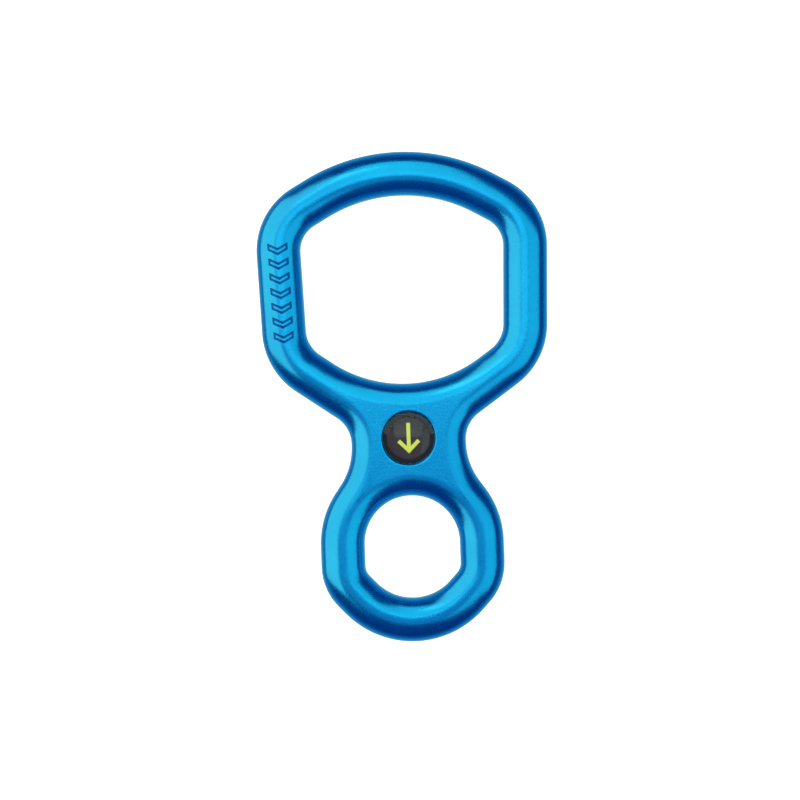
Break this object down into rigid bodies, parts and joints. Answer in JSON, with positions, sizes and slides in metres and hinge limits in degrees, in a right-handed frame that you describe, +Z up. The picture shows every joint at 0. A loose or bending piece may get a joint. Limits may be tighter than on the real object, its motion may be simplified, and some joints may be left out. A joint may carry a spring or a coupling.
{
  "type": "rope descender",
  "caption": "Forged figure-of-eight rope descender: wide rounded-hexagon rope ring, flat neck with a recessed domed badge, small round clip-in eye.",
  "frame": {"origin": "middle of the footprint on the resting surface, under the frame's back", "axes": "+X across the width, to the right with the badge facing up; +Y along the length, from the clip-in eye to the rope ring; +Z up through the thickness, out of the badge side"},
  "size_m": [0.0772, 0.13, 0.011],
  "materials": {
    "anodised_aluminium": "glossy blue anodised, forged and tumbled",
    "bonding_disc": "translucent acrylic bonding disc",
    "printed_film": "black printed film",
    "printed_ink": "lime printed ink",
    "clear_resin": "clear domed polyurethane resin"
  },
  "bodies": {
    "root": {"frame": "anodised_aluminium", "badge_adhesive": "bonding_disc", "badge_film": "printed_film", "badge_mark": "printed_ink", "badge_dome": "clear_resin"}
  },
  "joints": []
}
